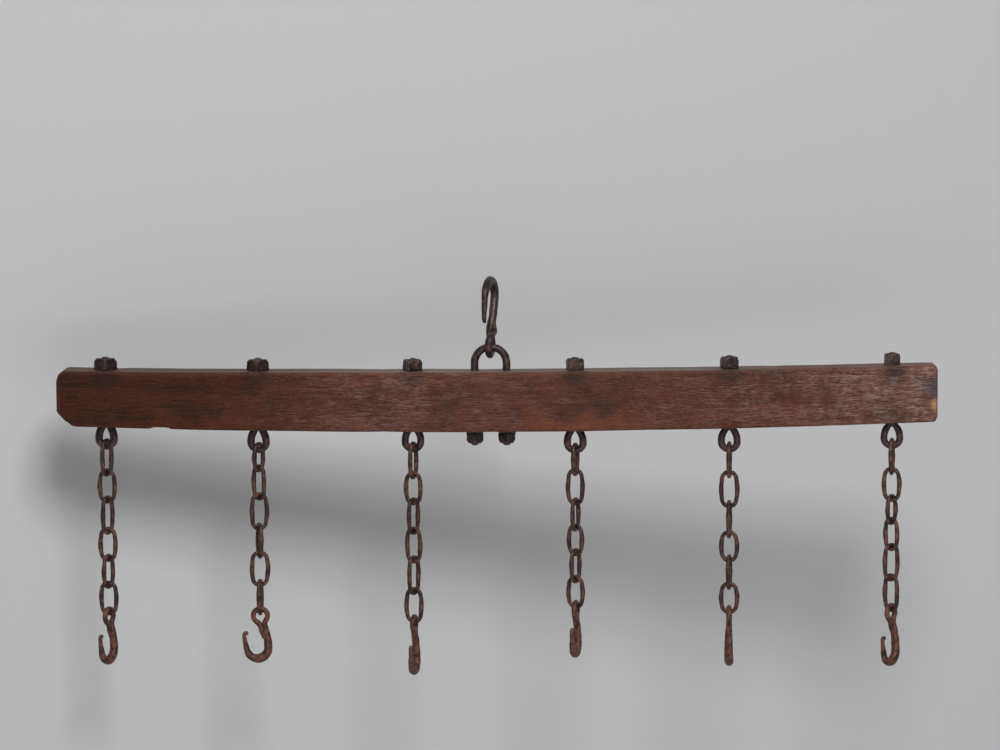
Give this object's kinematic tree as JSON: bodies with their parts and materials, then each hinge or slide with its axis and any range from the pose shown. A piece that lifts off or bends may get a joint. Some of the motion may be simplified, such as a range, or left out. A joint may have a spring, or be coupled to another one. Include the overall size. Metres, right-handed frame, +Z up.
{
  "type": "hanging hook rack",
  "caption": "Hewn wooden beam hung from an iron hook by a U-bolt, with forged link chains that end in open hooks hanging from eye bolts along it.",
  "frame": {"origin": "inside top of the hanging hook's bend, where the rack hangs from the ceiling", "axes": "+X along the beam to its thinner end, +Y through the beam's thickness to the back, +Z up"},
  "size_m": [1.1, 0.0573, 0.5049],
  "materials": {
    "wood": "old dark hardwood, hewn, waxed and dull",
    "hanger_iron": "worn dark iron with a dull shine",
    "bolt_iron": "rusty forged iron",
    "chain_iron": "forged iron with brown rust",
    "hook_iron": "forged iron with reddish rust"
  },
  "bodies": {
    "hanging_hook": {"hanging_hook": "hanger_iron"},
    "beam": {"beam": "wood", "eye_bolt_1": "bolt_iron", "eye_bolt_2": "bolt_iron", "eye_bolt_3": "bolt_iron", "eye_bolt_4": "bolt_iron", "eye_bolt_5": "bolt_iron", "eye_bolt_6": "bolt_iron", "eye_bolt_nuts": "bolt_iron", "u_bolt": "hanger_iron", "u_bolt_washers": "hanger_iron", "u_bolt_nuts": "hanger_iron"},
    "chain_1_link_1": {"chain_1_link_1": "chain_iron"},
    "chain_1_link_2": {"chain_1_link_2": "chain_iron"},
    "chain_1_link_3": {"chain_1_link_3": "chain_iron"},
    "chain_1_link_4": {"chain_1_link_4": "chain_iron"},
    "chain_1_link_5": {"chain_1_link_5": "chain_iron"},
    "chain_1_link_6": {"chain_1_link_6": "chain_iron"},
    "chain_1_hook": {"chain_1_hook": "hook_iron"},
    "chain_2_link_1": {"chain_2_link_1": "chain_iron"},
    "chain_2_link_2": {"chain_2_link_2": "chain_iron"},
    "chain_2_link_3": {"chain_2_link_3": "chain_iron"},
    "chain_2_link_4": {"chain_2_link_4": "chain_iron"},
    "chain_2_link_5": {"chain_2_link_5": "chain_iron"},
    "chain_2_link_6": {"chain_2_link_6": "chain_iron"},
    "chain_2_hook": {"chain_2_hook": "hook_iron"},
    "chain_3_link_1": {"chain_3_link_1": "chain_iron"},
    "chain_3_link_2": {"chain_3_link_2": "chain_iron"},
    "chain_3_link_3": {"chain_3_link_3": "chain_iron"},
    "chain_3_link_4": {"chain_3_link_4": "chain_iron"},
    "chain_3_link_5": {"chain_3_link_5": "chain_iron"},
    "chain_3_link_6": {"chain_3_link_6": "chain_iron"},
    "chain_3_hook": {"chain_3_hook": "hook_iron"},
    "chain_4_link_1": {"chain_4_link_1": "chain_iron"},
    "chain_4_link_2": {"chain_4_link_2": "chain_iron"},
    "chain_4_link_3": {"chain_4_link_3": "chain_iron"},
    "chain_4_link_4": {"chain_4_link_4": "chain_iron"},
    "chain_4_link_5": {"chain_4_link_5": "chain_iron"},
    "chain_4_link_6": {"chain_4_link_6": "chain_iron"},
    "chain_4_hook": {"chain_4_hook": "hook_iron"},
    "chain_5_link_1": {"chain_5_link_1": "chain_iron"},
    "chain_5_link_2": {"chain_5_link_2": "chain_iron"},
    "chain_5_link_3": {"chain_5_link_3": "chain_iron"},
    "chain_5_link_4": {"chain_5_link_4": "chain_iron"},
    "chain_5_link_5": {"chain_5_link_5": "chain_iron"},
    "chain_5_link_6": {"chain_5_link_6": "chain_iron"},
    "chain_5_hook": {"chain_5_hook": "hook_iron"},
    "chain_6_link_1": {"chain_6_link_1": "chain_iron"},
    "chain_6_link_2": {"chain_6_link_2": "chain_iron"},
    "chain_6_link_3": {"chain_6_link_3": "chain_iron"},
    "chain_6_link_4": {"chain_6_link_4": "chain_iron"},
    "chain_6_link_5": {"chain_6_link_5": "chain_iron"},
    "chain_6_link_6": {"chain_6_link_6": "chain_iron"},
    "chain_6_hook": {"chain_6_hook": "hook_iron"}
  },
  "joints": [
    {"name": "beam_tilt", "type": "hinge", "parent": "hanging_hook", "child": "beam", "pos_m": [0, 0, -0.0874], "axis": [0.2588, 0.9659, 0], "range_deg": [-45, 45]},
    {"name": "chain_1_link_1_swing", "type": "hinge", "parent": "beam", "child": "chain_1_link_1", "pos_m": [-0.483, 0, -0.20056], "axis": [0.9703, -0.2419, 0], "range_deg": [-75, 75]},
    {"name": "chain_1_link_2_swing", "type": "hinge", "parent": "chain_1_link_1", "child": "chain_1_link_2", "pos_m": [-0.483, 0, -0.23741], "axis": [0.4695, 0.8829, 0], "range_deg": [-45, 45]},
    {"name": "chain_1_link_3_swing", "type": "hinge", "parent": "chain_1_link_2", "child": "chain_1_link_3", "pos_m": [-0.483, 0, -0.27151], "axis": [-0.9613, 0.2756, 0], "range_deg": [-75, 75]},
    {"name": "chain_1_link_4_swing", "type": "hinge", "parent": "chain_1_link_3", "child": "chain_1_link_4", "pos_m": [-0.483, 0, -0.31111], "axis": [-0.5, -0.866, 0], "range_deg": [-75, 75]},
    {"name": "chain_1_link_5_swing", "type": "hinge", "parent": "chain_1_link_4", "child": "chain_1_link_5", "pos_m": [-0.483, 0, -0.34571], "axis": [0.9659, -0.2588, 0], "range_deg": [-75, 75]},
    {"name": "chain_1_link_6_swing", "type": "hinge", "parent": "chain_1_link_5", "child": "chain_1_link_6", "pos_m": [-0.483, 0, -0.37981], "axis": [0.454, 0.891, 0], "range_deg": [-75, 75]},
    {"name": "chain_1_hook_swing", "type": "hinge", "parent": "chain_1_link_6", "child": "chain_1_hook", "pos_m": [-0.483, 0, -0.41391], "axis": [-0.9703, 0.2419, 0], "range_deg": [-75, 75]},
    {"name": "chain_2_link_1_swing", "type": "hinge", "parent": "beam", "child": "chain_2_link_1", "pos_m": [-0.2919, 0, -0.20574], "axis": [0.9703, -0.2419, 0], "range_deg": [-75, 75]},
    {"name": "chain_2_link_2_swing", "type": "hinge", "parent": "chain_2_link_1", "child": "chain_2_link_2", "pos_m": [-0.2919, 0, -0.23259], "axis": [0.4695, 0.8829, 0], "range_deg": [-45, 45]},
    {"name": "chain_2_link_3_swing", "type": "hinge", "parent": "chain_2_link_2", "child": "chain_2_link_3", "pos_m": [-0.2919, 0, -0.26819], "axis": [-0.6947, 0.7193, 0], "range_deg": [-75, 75]},
    {"name": "chain_2_link_4_swing", "type": "hinge", "parent": "chain_2_link_3", "child": "chain_2_link_4", "pos_m": [-0.2919, 0, -0.30629], "axis": [-0.8988, -0.4384, 0], "range_deg": [-75, 75]},
    {"name": "chain_2_link_5_swing", "type": "hinge", "parent": "chain_2_link_4", "child": "chain_2_link_5", "pos_m": [-0.2919, 0, -0.34189], "axis": [0.2924, -0.9563, 0], "range_deg": [-75, 75]},
    {"name": "chain_2_link_6_swing", "type": "hinge", "parent": "chain_2_link_5", "child": "chain_2_link_6", "pos_m": [-0.2919, 0, -0.37799], "axis": [0.9903, 0.1392, 0], "range_deg": [-75, 75]},
    {"name": "chain_2_hook_swing", "type": "hinge", "parent": "chain_2_link_6", "child": "chain_2_hook", "pos_m": [-0.2919, 0, -0.41409], "axis": [-0.1045, -0.9945, 0], "range_deg": [-75, 75]},
    {"name": "chain_3_link_1_swing", "type": "hinge", "parent": "beam", "child": "chain_3_link_1", "pos_m": [-0.0978, 0, -0.20546], "axis": [0.9903, -0.1392, 0], "range_deg": [-75, 75]},
    {"name": "chain_3_link_2_swing", "type": "hinge", "parent": "chain_3_link_1", "child": "chain_3_link_2", "pos_m": [-0.0978, 0, -0.24181], "axis": [0.342, 0.9397, 0], "range_deg": [-40, 40]},
    {"name": "chain_3_link_3_swing", "type": "hinge", "parent": "chain_3_link_2", "child": "chain_3_link_3", "pos_m": [-0.0978, 0, -0.27491], "axis": [-0.9135, 0.4067, 0], "range_deg": [-75, 75]},
    {"name": "chain_3_link_4_swing", "type": "hinge", "parent": "chain_3_link_3", "child": "chain_3_link_4", "pos_m": [-0.0978, 0, -0.31201], "axis": [-0.5446, -0.8387, 0], "range_deg": [-75, 75]},
    {"name": "chain_3_link_5_swing", "type": "hinge", "parent": "chain_3_link_4", "child": "chain_3_link_5", "pos_m": [-0.0978, 0, -0.34861], "axis": [0.829, -0.5592, 0], "range_deg": [-75, 75]},
    {"name": "chain_3_link_6_swing", "type": "hinge", "parent": "chain_3_link_5", "child": "chain_3_link_6", "pos_m": [-0.0978, 0, -0.38871], "axis": [0.5299, 0.848, 0], "range_deg": [-75, 75]},
    {"name": "chain_3_hook_swing", "type": "hinge", "parent": "chain_3_link_6", "child": "chain_3_hook", "pos_m": [-0.0978, 0, -0.42481], "axis": [-0.9397, 0.342, 0], "range_deg": [-75, 75]},
    {"name": "chain_4_link_1_swing", "type": "hinge", "parent": "beam", "child": "chain_4_link_1", "pos_m": [0.1058, 0, -0.20755], "axis": [0.9945, -0.1045, 0], "range_deg": [-75, 75]},
    {"name": "chain_4_link_2_swing", "type": "hinge", "parent": "chain_4_link_1", "child": "chain_4_link_2", "pos_m": [0.1058, 0, -0.2384], "axis": [0.2588, 0.9659, 0], "range_deg": [-40, 40]},
    {"name": "chain_4_link_3_swing", "type": "hinge", "parent": "chain_4_link_2", "child": "chain_4_link_3", "pos_m": [0.1058, 0, -0.2755], "axis": [-0.9063, 0.4226, 0], "range_deg": [-75, 75]},
    {"name": "chain_4_link_4_swing", "type": "hinge", "parent": "chain_4_link_3", "child": "chain_4_link_4", "pos_m": [0.1058, 0, -0.3086], "axis": [-0.3746, -0.9272, 0], "range_deg": [-75, 75]},
    {"name": "chain_4_link_5_swing", "type": "hinge", "parent": "chain_4_link_4", "child": "chain_4_link_5", "pos_m": [0.1058, 0, -0.3397], "axis": [0.809, -0.5878, 0], "range_deg": [-75, 75]},
    {"name": "chain_4_link_6_swing", "type": "hinge", "parent": "chain_4_link_5", "child": "chain_4_link_6", "pos_m": [0.1058, 0, -0.3743], "axis": [0.5, 0.866, 0], "range_deg": [-75, 75]},
    {"name": "chain_4_hook_swing", "type": "hinge", "parent": "chain_4_link_6", "child": "chain_4_hook", "pos_m": [0.1058, 0, -0.4069], "axis": [-0.8829, 0.4695, 0], "range_deg": [-75, 75]},
    {"name": "chain_5_link_1_swing", "type": "hinge", "parent": "beam", "child": "chain_5_link_1", "pos_m": [0.2989, 0, -0.20656], "axis": [0.9976, -0.0698, 0], "range_deg": [-75, 75]},
    {"name": "chain_5_link_2_swing", "type": "hinge", "parent": "chain_5_link_1", "child": "chain_5_link_2", "pos_m": [0.2989, 0, -0.24141], "axis": [0.1219, 0.9925, 0], "range_deg": [-40, 40]},
    {"name": "chain_5_link_3_swing", "type": "hinge", "parent": "chain_5_link_2", "child": "chain_5_link_3", "pos_m": [0.2989, 0, -0.27951], "axis": [-0.9925, 0.1219, 0], "range_deg": [-75, 75]},
    {"name": "chain_5_link_4_swing", "type": "hinge", "parent": "chain_5_link_3", "child": "chain_5_link_4", "pos_m": [0.2989, 0, -0.31761], "axis": [-0.1392, -0.9903, 0], "range_deg": [-75, 75]},
    {"name": "chain_5_link_5_swing", "type": "hinge", "parent": "chain_5_link_4", "child": "chain_5_link_5", "pos_m": [0.2989, 0, -0.34821], "axis": [0.9703, -0.2419, 0], "range_deg": [-75, 75]},
    {"name": "chain_5_link_6_swing", "type": "hinge", "parent": "chain_5_link_5", "child": "chain_5_link_6", "pos_m": [0.2989, 0, -0.38281], "axis": [0.1736, 0.9848, 0], "range_deg": [-75, 75]},
    {"name": "chain_5_hook_swing", "type": "hinge", "parent": "chain_5_link_6", "child": "chain_5_hook", "pos_m": [0.2989, 0, -0.41391], "axis": [-0.9903, 0.1392, 0], "range_deg": [-75, 75]},
    {"name": "chain_6_link_1_swing", "type": "hinge", "parent": "beam", "child": "chain_6_link_1", "pos_m": [0.5025, 0, -0.20267], "axis": [0.9945, -0.1045, 0], "range_deg": [-75, 75]},
    {"name": "chain_6_link_2_swing", "type": "hinge", "parent": "chain_6_link_1", "child": "chain_6_link_2", "pos_m": [0.5025, 0, -0.23802], "axis": [0.2079, 0.9781, 0], "range_deg": [-40, 40]},
    {"name": "chain_6_link_3_swing", "type": "hinge", "parent": "chain_6_link_2", "child": "chain_6_link_3", "pos_m": [0.5025, 0, -0.27212], "axis": [-0.9272, 0.3746, 0], "range_deg": [-75, 75]},
    {"name": "chain_6_link_4_swing", "type": "hinge", "parent": "chain_6_link_3", "child": "chain_6_link_4", "pos_m": [0.5025, 0, -0.30122], "axis": [-0.5446, -0.8387, 0], "range_deg": [-75, 75]},
    {"name": "chain_6_link_5_swing", "type": "hinge", "parent": "chain_6_link_4", "child": "chain_6_link_5", "pos_m": [0.5025, 0, -0.33432], "axis": [0.6691, -0.7431, 0], "range_deg": [-75, 75]},
    {"name": "chain_6_link_6_swing", "type": "hinge", "parent": "chain_6_link_5", "child": "chain_6_link_6", "pos_m": [0.5025, 0, -0.37292], "axis": [0.829, 0.5592, 0], "range_deg": [-75, 75]},
    {"name": "chain_6_hook_swing", "type": "hinge", "parent": "chain_6_link_6", "child": "chain_6_hook", "pos_m": [0.5025, 0, -0.41152], "axis": [-0.6947, 0.7193, 0], "range_deg": [-75, 75]}
  ]
}
